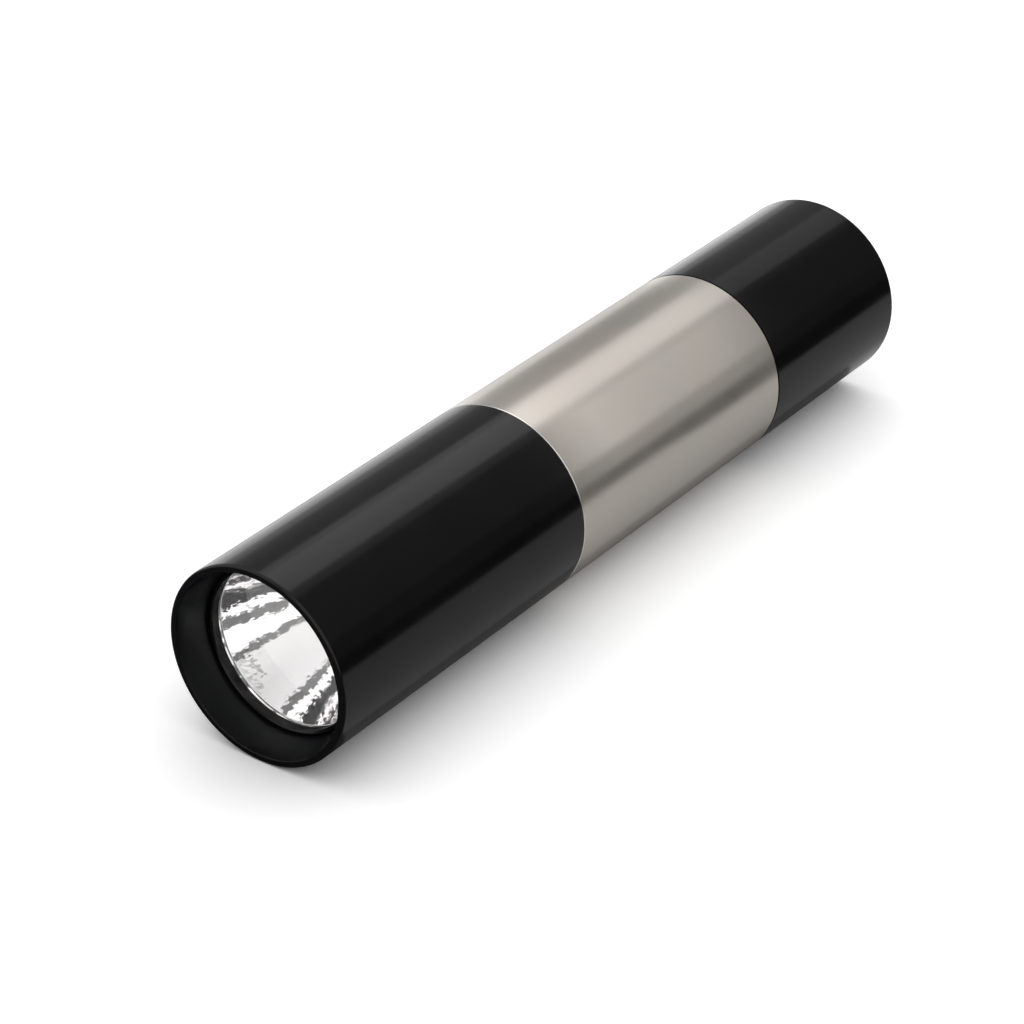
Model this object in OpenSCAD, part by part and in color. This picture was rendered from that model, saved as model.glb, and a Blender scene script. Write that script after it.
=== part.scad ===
// Tube flashlight for three AAA cells, lying on its side with the lens facing -Y.
// Lengths along the tube are stations, counted from the front rim towards the tail.

/* [Outside] */
// Visible length of the black head
head_len = 51; // [48:0.5:60]
// Visible length of the black tail cap
tail_len = 32; // [31:0.5:40]
// Wall of the barrel round the spigots
socket_wall = 1.1; // [0.9:0.05:1.6]
// Chamfer on the edges beside the two seams
seam_chamfer = 0.3; // [0.1:0.05:0.6]
// Rounding of the front rim and the rear rim
rim_round = 0.4; // [0.2:0.05:0.6]

/* [Screwed joints] */
// Wall of the spigots that screw into the barrel
spigot_wall = 1.45; // [1.3:0.05:2]
// Length of each spigot
spigot_len = 10; // [8:0.5:12]
// Radial running clearance of the screwed joints
screw_clear = 0.05; // [0.02:0.01:0.08]
// Gap between a spigot's end and the shoulder in the barrel
spigot_end_gap = 0.3; // [0.2:0.1:1]
// Section diameter of the two O-rings
seal_d = 0.8; // [0.6:0.05:0.9]
// Clearance under an O-ring in its groove
seal_clear = 0.02; // [0.01:0.01:0.04]
// Clearance at each side of an O-ring in its groove
seal_side_clear = 0.1; // [0.05:0.05:0.3]
// Distance from the seam to the O-ring's middle
seal_inset = 2.2; // [1.5:0.1:3]

/* [Lens and reflector] */
// Flat width of the front lip
lip_width = 1; // [0.6:0.1:1.2]
// Depth of the funnel in front of the retaining ring
funnel_depth = 4.9; // [4.2:0.1:6]
// Wall of the head round the lens and reflector
optic_wall = 2; // [1.7:0.05:2.2]
// Radial width of the retaining ring
ring_w = 0.65; // [0.6:0.05:0.9]
// Thickness of the retaining ring
ring_t = 1.4; // [1.2:0.1:2]
// Chamfer on the front edges of the retaining ring
ring_chamfer = 0.2; // [0.1:0.05:0.3]
// Width of the soft ring round the lens
gasket_w = 0.4; // [0.3:0.05:0.6]
// Thickness of the lens
lens_t = 1.2; // [1:0.1:2]
// How far the reflector's open edge lies inside the lens's edge
reflector_inset = 0.15; // [0.1:0.05:0.4]
// Diameter of the hole at the reflector's bottom
reflector_hole_d = 6.4; // [6:0.1:7]
// Depth of the reflector
reflector_depth = 14; // [12:0.5:16]
// Wall of the reflector
reflector_wall = 0.9; // [0.7:0.1:1.2]
// Thickness of the reflector's flange
flange_t = 1.6; // [1:0.1:2]
// Radial clearance of the parts stacked in the head
stack_clear = 0.05; // [0.02:0.01:0.1]

/* [Light source] */
// Width of the square emitter
emitter_w = 3.5; // [3:0.1:3.6]
// Height of the emitter under its dome
emitter_h = 1; // [0.8:0.1:1.1]
// Diameter of the emitter's dome
dome_d = 2.9; // [2.4:0.1:3]
// Thickness of the centring ring between reflector and board
centring_t = 0.6; // [0.5:0.1:0.8]
// Diameter of the centring ring
centring_d = 10; // [9:0.5:11]
// Clearance round the emitter in the centring ring
centring_clear = 0.1; // [0.05:0.05:0.2]
// Diameter of the emitter's board
led_board_d = 16; // [15:0.5:16.5]
// Thickness of the emitter's board
led_board_t = 1.6; // [1.2:0.1:2]
// Radius of the six notches round the board
notch_r = 1.4; // [1.2:0.1:1.6]
// Thickness of the shelf that the heat sink screws up against
shelf_t = 2; // [1.5:0.1:2.5]
// Gap round the emitter's board in the shelf's opening
shelf_gap = 0.8; // [0.6:0.1:1.2]
// Length of the heat sink
sink_len = 14; // [12:0.5:16]
// Thickness of the heat sink's top
sink_top = 3; // [2:0.1:4]
// Wall of the heat sink
sink_wall = 1.8; // [1.4:0.1:2.2]
// Thickness of the driver board and the switch board
board_t = 1.6; // [1.2:0.1:2]
// Wall of the heat sink round the driver board
driver_seat_wall = 1; // [0.8:0.1:1.2]
// Diameter of the two wires' insulation
wire_d = 0.9; // [0.8:0.1:1]
// Distance of the wires' middles inside the edge of the emitter's board
wire_inset = 0.7; // [0.5:0.1:0.9]

/* [Battery] */
// Clearance round the cassette in the battery bay
bay_clear = 0.25; // [0.2:0.05:0.4]
// How far the cassette's rim stands out past the cells
cell_cover = 0.08; // [0.05:0.01:0.3]
// Thickness of the cassette's two end discs
end_disc_t = 2.5; // [2:0.1:3]
// Diameter of an AAA cell
cell_d = 10.2; // [10:0.1:10.3]
// Length of an AAA cell over its button
cell_len = 44.5; // [43.5:0.1:44.5]
// Gap between neighbouring cells
cell_gap = 0.14; // [0.1:0.01:0.3]
// Clearance round each cell in the cassette's spars
cell_clear = 0.15; // [0.1:0.05:0.3]
// Diameter of the cell's positive button
nub_d = 3.8; // [3.4:0.1:4.2]
// Height of the cell's positive button
nub_h = 1; // [0.8:0.1:1.2]
// Thickness of the contact plates
plate_t = 0.4; // [0.3:0.05:0.5]
// Diameter of the small contact plates
plate_d = 8; // [7:0.5:9]
// Diameter of the front contact button
front_contact_d = 6; // [5:0.5:7]
// Diameter of the rear contact plate
rear_contact_d = 14; // [13:0.5:15]
// Depth at which the outer contacts sit in the end discs
contact_depth = 1; // [0.8:0.1:1.2]

/* [Springs] */
// Working length of the cell springs
cell_spring_len = 1.7; // [1.6:0.1:2.5]
// Working length of the tail spring
tail_spring_len = 12.5; // [10:0.5:16]
// Diameter of the driver spring at its board, over the wire's middle
driver_base_d = 9.2; // [8.6:0.1:10]
// Diameter of the driver spring at the battery
driver_tip_d = 4.8; // [4:0.1:5.2]
// Diameter of the cell springs at the end disc
cell_base_d = 7.2; // [6.8:0.1:7.4]
// Diameter of the cell springs at the cell
cell_tip_d = 3.2; // [2.8:0.1:3.6]
// Diameter of the tail spring at its board
tail_base_d = 15.2; // [13:0.1:17]
// Diameter of the tail spring at the battery
tail_tip_d = 8.8; // [8:0.1:10]
// Wire diameter of the cell springs
cell_wire_d = 0.5; // [0.4:0.05:0.5]
// Turns of each cell spring
cell_turns = 2; // [2:0.5:2]
// Wire diameter of the driver spring and the tail spring
contact_wire_d = 0.8; // [0.7:0.05:0.9]
// Working length of the driver spring
driver_spring_len = 5; // [4.8:0.1:7]
// Turns of the driver spring
driver_turns = 3.5; // [3:0.5:3.5]
// Turns of the tail spring
tail_turns = 5; // [4:0.5:5]
// Wire diameter of the switch's return spring
switch_wire_d = 0.4; // [0.3:0.05:0.4]
// Turns of the switch's return spring
switch_turns = 4.5; // [3:0.5:5]

/* [Tail switch] */
// Diameter of the thumb recess in the tail
thumb_d = 19; // [18:0.5:20]
// Depth of the thumb recess
thumb_depth = 3.5; // [3:0.1:3.8]
// Chamfer on the edge of the thumb recess
thumb_edge = 0.4; // [0.2:0.1:0.8]
// Thickness of the wall that the boot comes through
end_wall = 2; // [1.5:0.1:2.5]
// Diameter of the boot's dome
boot_d = 12.4; // [12:0.1:13]
// Diameter of the boot's flange
boot_flange_d = 17.2; // [16.5:0.1:18]
// Thickness of the boot's flange
boot_flange_t = 1.3; // [1:0.1:1.5]
// Wall of the boot
boot_wall = 1.1; // [0.9:0.1:1.3]
// Thickness of the pad under the boot's crown
boot_pad_t = 1.2; // [0.8:0.1:1.5]
// How far the boot's crown stays below the rear rim
boot_inset = 1.2; // [1:0.1:1.5]
// Radius of the boot's rounded shoulder
boot_round = 1.6; // [1.2:0.1:1.8]
// Gap round the boot in the tail wall
boot_gap = 0.1; // [0.05:0.05:0.2]
// How far the button travels
button_travel = 1.6; // [1.2:0.1:2]
// Diameter of the plunger
plunger_d = 6; // [5.4:0.1:6.4]
// Running clearance round the plunger
plunger_clear = 0.1; // [0.05:0.01:0.1]
// Gap between plunger and boot
plunger_gap = 0.05; // [0.02:0.01:0.1]
// How far the boot's pad stays inside the plunger's side
pad_inset = 0.4; // [0.3:0.1:0.6]
// How far the return spring's middle line stays inside the plunger's side
spring_inset = 0.8; // [0.6:0.1:1]
// Length of the plunger inside the switch
plunger_inner = 5; // [4:0.5:6]
// Width of the square switch body
switch_w = 12; // [11:0.5:13]
// Length of the switch body
switch_len = 11; // [10.5:0.5:12]
// Floor under the switch's return spring
switch_floor = 1; // [0.8:0.1:1.5]
// Clearance round the switch body in its housing
switch_clear = 0.1; // [0.05:0.05:0.2]
// Wall behind the switch body in the housing
housing_web = 4.9; // [4:0.1:6]
// Depth of the seat for the switch board
board_seat = 0.5; // [0.3:0.1:1]
// Wall of the housing round the switch board
board_seat_wall = 1.1; // [0.9:0.1:1.4]
// Cut-off on the switch body's upright edges
switch_corner = 1; // [0.6:0.1:1.2]

/* [Hidden] */
$fn = 96;
// Overlap of cutting shapes past the faces they cut
cut = 1;
// Rings of the swept spring wire in each turn
rings_per_turn = 8;
// Sides of the swept spring wire
wire_sides = 6;
// Points along a rounded edge
round_steps = 5;
// Points along the reflector's curve, and how many of them its neck takes up
curve_steps = 16;
neck_steps = 4;

// Radii from the cells outwards: cassette, battery bay, spigots, sockets and tube
cell_line_r = (cell_d + cell_gap) / sqrt(3);
cassette_r = cell_line_r + cell_d / 2 + cell_cover;
bay_r = cassette_r + bay_clear;
spigot_r = bay_r + spigot_wall;
socket_r = spigot_r + screw_clear;
body_r = socket_r + socket_wall;

// Radii of the optics, from the head's wall inwards
optic_bore_r = body_r - optic_wall;
stack_r = optic_bore_r - stack_clear;
lens_r = stack_r - gasket_w - stack_clear;
ring_open_r = stack_r - ring_w;
reflector_open_r = lens_r - reflector_inset;

// Radii of what slides into the bay from either end, and of the two boards
insert_r = bay_r - stack_clear;
driver_r = insert_r - driver_seat_wall - stack_clear;
switch_board_r = insert_r - board_seat_wall - stack_clear;
wire_offset = led_board_d / 2 - wire_inset;
plunger_r = plunger_d / 2;

// Groove and centre line of the O-rings
seal_floor_r = socket_r - seal_d - seal_clear - screw_clear;
seal_line_r = seal_floor_r + seal_clear + seal_d / 2;
seal_groove_w = seal_d + 2 * seal_side_clear;

// Stations of the stack in the head, from the front
lens_front = funnel_depth + ring_t;
lens_back = lens_front + lens_t;
reflector_back = lens_back + reflector_depth;
led_board_front = reflector_back + centring_t;
sink_front = led_board_front + led_board_t;
sink_back = sink_front + sink_len;
shelf_front = sink_front - shelf_t;
driver_front = sink_back - board_t;
cassette_front = sink_back + driver_spring_len;

// Stations of the cells between their contact plates, and the cassette's end
cell_start = cassette_front + end_disc_t + plate_t;
cell_stop = cell_start + cell_len;
far_plate = cell_stop + cell_spring_len;
cassette_back = far_plate + plate_t + end_disc_t;
cassette_len = cassette_back - cassette_front;

// Stations of the stack in the tail, up to the rear rim
board_front = cassette_back + tail_spring_len;
switch_front = board_front + board_t;
switch_back = switch_front + switch_len;
housing_front = board_front - board_seat;
housing_back = switch_back + housing_web;
chamber_end = housing_back + boot_flange_t;
thumb_floor = chamber_end + end_wall;
total_len = thumb_floor + thumb_depth;
crown = total_len - boot_inset;
pad_station = crown - boot_wall - boot_pad_t;
plunger_start = switch_back - plunger_inner;

// Stations of the two seams and of the spigots' ends: the barrel shows between head and tail
front_seam = head_len;
rear_seam = total_len - tail_len;
head_end = front_seam + spigot_len;
tail_start = rear_seam - spigot_len;

// Rounds the outer corner of a profile between a face at station s and the radius r
function rim_arc(r, s, radius, dir) = [
  for (i = [0:round_steps])
    [r - radius + radius * sin(90 * i / round_steps),
     s + dir * (radius - radius * cos(90 * i / round_steps))]
];

// Points from the last to the first
function backwards(list) = [for (i = [len(list) - 1:-1:0]) list[i]];

// Lays a shape drawn along +Z from the front rim on the floor, with its tail towards +Y
module laid() {
  translate([0, -total_len / 2, body_r]) rotate([-90, 0, 0]) children();
}

// A solid of revolution from a list of [radius, station] points
module turned(points) {
  laid() rotate_extrude() polygon(points);
}

// A ring with square edges between two radii and two stations
module ring(inner_r, outer_r, from, to) {
  turned([[inner_r, from], [outer_r, from], [outer_r, to], [inner_r, to]]);
}

// Black anodised head: front lip, funnel, optic bore, shelf, battery bay and spigot
module head_shell() {
  lip_r = body_r - lip_width;
  shelf_open_r = led_board_d / 2 + shelf_gap;
  color("#1b1b1d") turned(concat(
    [[lip_r, 0]],
    rim_arc(body_r, 0, rim_round, 1),
    [
      [body_r, front_seam - seam_chamfer],
      [body_r - seam_chamfer, front_seam],
      [spigot_r, front_seam],
      [spigot_r, front_seam + seal_inset - seal_groove_w / 2],
      [seal_floor_r, front_seam + seal_inset - seal_groove_w / 2],
      [seal_floor_r, front_seam + seal_inset + seal_groove_w / 2],
      [spigot_r, front_seam + seal_inset + seal_groove_w / 2],
      [spigot_r, head_end - seam_chamfer],
      [spigot_r - seam_chamfer, head_end],
      [bay_r, head_end],
      [bay_r, sink_front],
      [shelf_open_r, sink_front],
      [shelf_open_r, shelf_front],
      [optic_bore_r, shelf_front],
      [optic_bore_r, funnel_depth]
    ]
  ));
}

// Threaded ring that clamps the lens from the front
module lens_retaining_ring() {
  color("#232325") turned([
    [ring_open_r, funnel_depth + ring_chamfer],
    [ring_open_r + ring_chamfer, funnel_depth],
    [stack_r - ring_chamfer, funnel_depth],
    [stack_r, funnel_depth + ring_chamfer],
    [stack_r, lens_front],
    [ring_open_r, lens_front]
  ]);
}

// Flat clear lens
module lens() {
  color("#dfe8ec", 0.4) ring(0, lens_r, lens_front, lens_back);
}

// Soft ring round the lens
module lens_gasket() {
  color("#3a3a3a") ring(stack_r - gasket_w, stack_r, lens_front, lens_back);
}

// Parabolic mirror: its focus lies at the emitter
module reflector() {
  hole_r = reflector_hole_d / 2;
  span = reflector_open_r - hole_r;
  slope = (reflector_open_r ^ 2 - hole_r ^ 2) / reflector_depth;
  inner = [
    for (i = [0:curve_steps])
      let (r = hole_r + span * i / curve_steps)
        [r, reflector_back - (r ^ 2 - hole_r ^ 2) / slope]
  ];
  // The outer wall follows the curve down to a straight neck at the hole
  outer = [
    for (i = [curve_steps - 1:-1:neck_steps])
      let (p = inner[i])
        if (p[1] > lens_back + flange_t) [p[0] + reflector_wall, p[1]]
  ];
  color("#e8e8ea") turned(concat(
    inner,
    [
      [stack_r, lens_back],
      [stack_r, lens_back + flange_t],
      [outer[0][0], lens_back + flange_t]
    ],
    outer,
    [[outer[len(outer) - 1][0], reflector_back]]
  ));
}

// Square emitter with its clear dome
module led_emitter() {
  top = led_board_front - emitter_h;
  color("#f3e9a0") laid() {
    translate([-emitter_w / 2, -emitter_w / 2, top]) cube([emitter_w, emitter_w, emitter_h]);
    translate([0, 0, top]) rotate_extrude() difference() {
      circle(d = dome_d);
      translate([-dome_d, -dome_d]) square([dome_d, 2 * dome_d]);
      translate([0, emitter_h / 2]) square([dome_d, dome_d]);
    }
  }
}

// Insulating ring that centres the reflector on the emitter
module led_centring_ring() {
  hole_w = emitter_w + 2 * centring_clear;
  color("#f2f2f0") laid() translate([0, 0, reflector_back])
    linear_extrude(centring_t) difference() {
      circle(d = centring_d);
      square([hole_w, hole_w], center = true);
    }
}

// Star-shaped metal-core board
module led_board() {
  color("#f6f6f4") laid() translate([0, 0, led_board_front])
    linear_extrude(led_board_t) difference() {
      circle(d = led_board_d);
      for (i = [0:5]) rotate(60 * i) translate([led_board_d / 2, 0]) circle(r = notch_r);
    }
}

// Two wires from the driver, up through the heat sink and the board's notches onto the pads
module led_wires() {
  wire_r = wire_d / 2;
  bend_at = led_board_front - wire_r;
  for (side = [-1, 1]) color(side > 0 ? "#b02a20" : "#202020") laid() {
    translate([side * wire_offset, 0, bend_at]) cylinder(d = wire_d, h = driver_front - bend_at);
    translate([side * wire_offset, 0, bend_at]) sphere(d = wire_d);
    translate([side * wire_offset, 0, bend_at]) rotate([0, -90 * side, 0])
      cylinder(d = wire_d, h = wire_r * 2);
  }
}

// Brass cup that carries the emitter's board in front and the driver behind
module heat_sink() {
  inner_r = insert_r - sink_wall;
  seat_r = driver_r + stack_clear;
  color("#b8923f") difference() {
    turned([
      [0, sink_front],
      [insert_r, sink_front],
      [insert_r, sink_back],
      [seat_r, sink_back],
      [seat_r, driver_front],
      [inner_r, driver_front],
      [inner_r, sink_front + sink_top],
      [0, sink_front + sink_top]
    ]);
    laid() for (side = [-1, 1])
      translate([side * wire_offset, 0, sink_front - cut])
        cylinder(d = wire_d + 2 * stack_clear, h = sink_top + 2 * cut);
  }
}

// Driver board with its coil, chip and diode
module driver_board() {
  coil_d = 6;
  coil_h = 3.2;
  coil_at = [0, 4.2];
  chip = [5, 4, 1.5];
  chip_at = [-2.5, -6.4];
  diode = [2.6, 4.2, 2];
  diode_at = [-5.4, -2];
  // How far the components reach into the board, so that all is one solid
  root = board_t / 2;
  color("#1f6b3a") laid() {
    translate([0, 0, driver_front]) cylinder(r = driver_r, h = board_t);
    translate([coil_at[0], coil_at[1], driver_front - coil_h])
      cylinder(d = coil_d, h = coil_h + root);
    translate([chip_at[0], chip_at[1], driver_front - chip[2]])
      cube([chip[0], chip[1], chip[2] + root]);
    translate([diode_at[0], diode_at[1], driver_front - diode[2]])
      cube([diode[0], diode[1], diode[2] + root]);
  }
}

// Centre line of a cone-shaped spring at turn t, from station 0 to its height
function coil_point(t, turns, r0, r1, height) =
  let (r = r0 + (r1 - r0) * t / turns)
    [r * cos(360 * t), r * sin(360 * t), height * t / turns];

// Least distance between two neighbouring turns of a spring, less the wire, in millimetres
function coil_gap(turns, r0, r1, height, wire) = min([
  for (i = [0:rings_per_turn * (turns - 0.5)])
    for (j = [rings_per_turn * 0.5:rings_per_turn * (turns) - i])
      norm(coil_point(i / rings_per_turn, turns, r0, r1, height)
        - coil_point((i + j) / rings_per_turn, turns, r0, r1, height))
]) - wire;

// Unbroken spring wire on a cone, resting on station 0 and ending at its full length
module coil(name, turns, r0, r1, length, wire) {
  height = length - wire;
  rings = round(rings_per_turn * turns);
  // Rings follow the line's own direction, so the wire keeps its section
  points = [
    for (i = [0:rings])
      let (
        t = i * turns / rings,
        r = r0 + (r1 - r0) * t / turns,
        out = [cos(360 * t), sin(360 * t), 0],
        along = [-sin(360 * t), cos(360 * t), height / turns / (2 * PI * r)],
        side = cross(out, along / norm(along)),
        centre = coil_point(t, turns, r0, r1, height) + [0, 0, wire / 2]
      )
        for (k = [0:wire_sides - 1])
          let (a = 360 * k / wire_sides)
            centre + wire / 2 * (cos(a) * out + sin(a) * side)
  ];
  walls = [
    for (i = [0:rings - 1])
      for (k = [0:wire_sides - 1])
        let (
          a = i * wire_sides + k,
          b = i * wire_sides + (k + 1) % wire_sides
        )
          each [[a, b, b + wire_sides], [a, b + wire_sides, a + wire_sides]]
  ];
  last = rings * wire_sides;
  caps = [
    for (k = [1:wire_sides - 2])
      each [[0, k + 1, k], [last, last + k, last + k + 1]]
  ];
  echo(spring = name, least_gap_mm = coil_gap(turns, r0, r1, height, wire));
  polyhedron(points, concat(walls, caps));
}

// Contact spring on the driver board, narrowing towards the battery
module driver_spring() {
  color("#d8d4c8") laid() translate([0, 0, sink_back])
    coil("driver_spring", driver_turns, driver_base_d / 2, driver_tip_d / 2,
      driver_spring_len, contact_wire_d);
}

// O-ring that lies in a groove of a spigot
module o_ring(station) {
  color("#101010") laid() translate([0, 0, station])
    rotate_extrude() translate([seal_line_r, 0]) circle(d = seal_d);
}

module head_o_ring() {
  o_ring(front_seam + seal_inset);
}

module tail_o_ring() {
  o_ring(rear_seam - seal_inset);
}

// Bare metal barrel with a screw socket at each end and the battery bay between
module barrel() {
  front_shoulder = head_end + spigot_end_gap;
  rear_shoulder = tail_start - spigot_end_gap;
  color("#a39c94") turned([
    [socket_r + seam_chamfer, front_seam],
    [body_r - seam_chamfer, front_seam],
    [body_r, front_seam + seam_chamfer],
    [body_r, rear_seam - seam_chamfer],
    [body_r - seam_chamfer, rear_seam],
    [socket_r + seam_chamfer, rear_seam],
    [socket_r, rear_seam - seam_chamfer],
    [socket_r, rear_shoulder],
    [bay_r, rear_shoulder],
    [bay_r, front_shoulder],
    [socket_r, front_shoulder],
    [socket_r, front_seam + seam_chamfer]
  ]);
}

// Puts a shape at each cell's place, or at the chosen ones
module at_cells(which = [0, 1, 2]) {
  for (i = which) rotate(90 + 120 * i) translate([cell_line_r, 0, 0]) children();
}

// Moulded cassette: two end discs joined by three spars that follow the cells
module cassette_frame() {
  pocket_r = cell_d / 2 + cell_clear;
  color("#2a2a2c") laid() difference() {
    union() {
      for (s = [cassette_front, cassette_back - end_disc_t])
        translate([0, 0, s]) cylinder(r = cassette_r, h = end_disc_t);
      translate([0, 0, cassette_front]) linear_extrude(cassette_len) difference() {
        circle(r = cassette_r);
        circle(r = cell_line_r);
        at_cells() circle(r = pocket_r);
      }
    }
    translate([0, 0, cassette_front - cut])
      cylinder(d = front_contact_d + 2 * stack_clear, h = contact_depth + cut);
    translate([0, 0, cassette_back - contact_depth])
      cylinder(d = rear_contact_d + 2 * stack_clear, h = contact_depth + cut);
  }
}

// One AAA cell with its button towards the front, or turned round
module cell(index, reversed) {
  can_r = cell_d / 2;
  nub_r = nub_d / 2;
  shoulder = 0.5;
  profile = [
    [0, 0],
    [nub_r, 0],
    [nub_r, nub_h],
    [can_r - shoulder, nub_h],
    [can_r, nub_h + shoulder],
    [can_r, cell_len - shoulder],
    [can_r - shoulder, cell_len],
    [0, cell_len]
  ];
  color("#4f6f8f") laid() at_cells([index])
    translate([0, 0, reversed ? far_plate : cell_start])
      mirror([0, 0, reversed ? 1 : 0]) rotate_extrude() polygon(profile);
}

module cell_1() {
  cell(0, false);
}

module cell_2() {
  cell(1, true);
}

module cell_3() {
  cell(2, false);
}

// Cone springs that press on the cells' flat ends
module cell_springs() {
  base_r = cell_base_d / 2;
  tip_r = cell_tip_d / 2;
  color("#d8d4c8") laid() {
    at_cells([0, 2]) translate([0, 0, far_plate]) mirror([0, 0, 1])
      coil("cell_spring", cell_turns, base_r, tip_r, cell_spring_len, cell_wire_d);
    at_cells([1]) translate([0, 0, cell_start])
      coil("cell_spring", cell_turns, base_r, tip_r, cell_spring_len, cell_wire_d);
  }
}

// Plates on the inner faces of the end discs
module cell_contacts() {
  color("#cfc9b8") laid() for (s = [cell_start - plate_t, far_plate])
    translate([0, 0, s]) at_cells() cylinder(d = plate_d, h = plate_t);
}

module cassette_front_contact() {
  color("#d9c88a") ring(0, front_contact_d / 2, cassette_front, cassette_front + contact_depth);
}

module cassette_rear_contact() {
  color("#cfc9b8") ring(0, rear_contact_d / 2, cassette_back - contact_depth, cassette_back);
}

// Contact spring on the switch board, narrowing towards the battery
module tail_spring() {
  color("#d8d4c8") laid() translate([0, 0, board_front]) mirror([0, 0, 1])
    coil("tail_spring", tail_turns, tail_base_d / 2, tail_tip_d / 2,
      tail_spring_len, contact_wire_d);
}

module switch_board() {
  color("#1f6b3a") ring(0, switch_board_r, board_front, switch_front);
}

// Square push switch with the cavity that guides its plunger
module switch_body() {
  cavity_r = plunger_r + plunger_clear;
  color("#26262a") laid() difference() {
    translate([0, 0, switch_front]) linear_extrude(switch_len) difference() {
      square([switch_w, switch_w], center = true);
      for (i = [0:3]) rotate(45 + 90 * i) translate([switch_w / sqrt(2), 0])
        rotate(45) square([switch_corner, switch_corner], center = true);
    }
    translate([0, 0, switch_front + switch_floor]) cylinder(r = cavity_r, h = switch_len);
  }
}

// Plunger that reaches from inside the switch to the boot's pad
module switch_plunger() {
  edge = 0.3;
  tip = pad_station - plunger_gap;
  color("#e9e6de") turned([
    [0, plunger_start],
    [plunger_r - edge, plunger_start],
    [plunger_r, plunger_start + edge],
    [plunger_r, tip - edge],
    [plunger_r - edge, tip],
    [0, tip]
  ]);
}

// Return spring between the switch's floor and the plunger
module switch_spring() {
  coil_r = plunger_r - spring_inset;
  from = switch_front + switch_floor;
  color("#d8d4c8") laid() translate([0, 0, from])
    coil("switch_spring", switch_turns, coil_r, coil_r, plunger_start - from, switch_wire_d);
}

// Moulded insert that holds the board and switch in the tail
module switch_housing() {
  seat_r = switch_board_r + stack_clear;
  hole_r = plunger_r + plunger_clear + stack_clear;
  pocket_w = switch_w + 2 * switch_clear;
  color("#303033") difference() {
    turned([
      [hole_r, switch_front],
      [seat_r, switch_front],
      [seat_r, housing_front],
      [insert_r, housing_front],
      [insert_r, housing_back],
      [hole_r, housing_back]
    ]);
    laid() translate([-pocket_w / 2, -pocket_w / 2, switch_front - cut])
      cube([pocket_w, pocket_w, switch_len + cut]);
  }
}

// Rubber boot: flange, short tube, rounded dome and an inner pad over the plunger
module switch_boot() {
  dome_r = boot_d / 2;
  inner_r = dome_r - boot_wall;
  pad_r = plunger_r - pad_inset;
  inner_round = boot_round - boot_wall / 2;
  color("#161616") turned(concat(
    [
      [inner_r, housing_back],
      [boot_flange_d / 2, housing_back],
      [boot_flange_d / 2, chamber_end],
      [dome_r, chamber_end]
    ],
    backwards(rim_arc(dome_r, crown, boot_round, -1)),
    [
      [0, crown],
      [0, pad_station],
      [pad_r, pad_station],
      [pad_r, crown - boot_wall]
    ],
    rim_arc(inner_r, crown - boot_wall, inner_round, -1)
  ));
}

// Black anodised tail cap: spigot, chamber, end wall and thumb recess
module tail_shell() {
  boot_hole_r = boot_d / 2 + boot_gap;
  thumb_r = thumb_d / 2;
  color("#1b1b1d") turned(concat(
    [
      [bay_r, tail_start],
      [spigot_r - seam_chamfer, tail_start],
      [spigot_r, tail_start + seam_chamfer],
      [spigot_r, rear_seam - seal_inset - seal_groove_w / 2],
      [seal_floor_r, rear_seam - seal_inset - seal_groove_w / 2],
      [seal_floor_r, rear_seam - seal_inset + seal_groove_w / 2],
      [spigot_r, rear_seam - seal_inset + seal_groove_w / 2],
      [spigot_r, rear_seam],
      [body_r - seam_chamfer, rear_seam],
      [body_r, rear_seam + seam_chamfer]
    ],
    backwards(rim_arc(body_r, total_len, rim_round, -1)),
    [
      [thumb_r + thumb_edge, total_len],
      [thumb_r, total_len - thumb_edge],
      [thumb_r, thumb_floor],
      [boot_hole_r, thumb_floor],
      [boot_hole_r, chamber_end],
      [bay_r, chamber_end]
    ]
  ));
}

head_shell();
lens_retaining_ring();
lens();
lens_gasket();
reflector();
led_emitter();
led_centring_ring();
led_board();
led_wires();
heat_sink();
driver_board();
driver_spring();
head_o_ring();
barrel();
cassette_frame();
cell_1();
cell_2();
cell_3();
cell_springs();
cell_contacts();
cassette_front_contact();
cassette_rear_contact();
tail_spring();
switch_board();
switch_body();
switch_plunger();
switch_spring();
switch_housing();
switch_boot();
tail_shell();
tail_o_ring();
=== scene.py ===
"""A plain tube flashlight: black anodised head and tail cap, warm grey barrel, lying on a white floor."""

import math

import bmesh
import bpy
from mathutils import Matrix, Vector


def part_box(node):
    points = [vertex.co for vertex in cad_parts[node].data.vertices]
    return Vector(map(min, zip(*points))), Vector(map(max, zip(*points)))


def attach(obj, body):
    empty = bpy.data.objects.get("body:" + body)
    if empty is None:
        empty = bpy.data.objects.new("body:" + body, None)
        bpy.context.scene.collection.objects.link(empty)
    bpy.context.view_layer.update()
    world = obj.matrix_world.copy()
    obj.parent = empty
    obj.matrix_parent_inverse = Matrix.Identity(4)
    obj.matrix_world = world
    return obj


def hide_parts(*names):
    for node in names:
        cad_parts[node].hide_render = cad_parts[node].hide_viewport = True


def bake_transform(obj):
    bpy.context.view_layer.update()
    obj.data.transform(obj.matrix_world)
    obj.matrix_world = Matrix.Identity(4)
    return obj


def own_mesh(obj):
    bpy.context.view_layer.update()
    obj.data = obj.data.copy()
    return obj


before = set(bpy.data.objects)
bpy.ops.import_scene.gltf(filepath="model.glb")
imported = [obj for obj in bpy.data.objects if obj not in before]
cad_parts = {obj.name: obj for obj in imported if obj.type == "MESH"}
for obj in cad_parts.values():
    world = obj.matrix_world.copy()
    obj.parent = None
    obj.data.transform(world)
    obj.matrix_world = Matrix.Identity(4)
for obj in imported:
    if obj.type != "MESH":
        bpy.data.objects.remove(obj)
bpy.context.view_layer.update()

MM = 0.001


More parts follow.
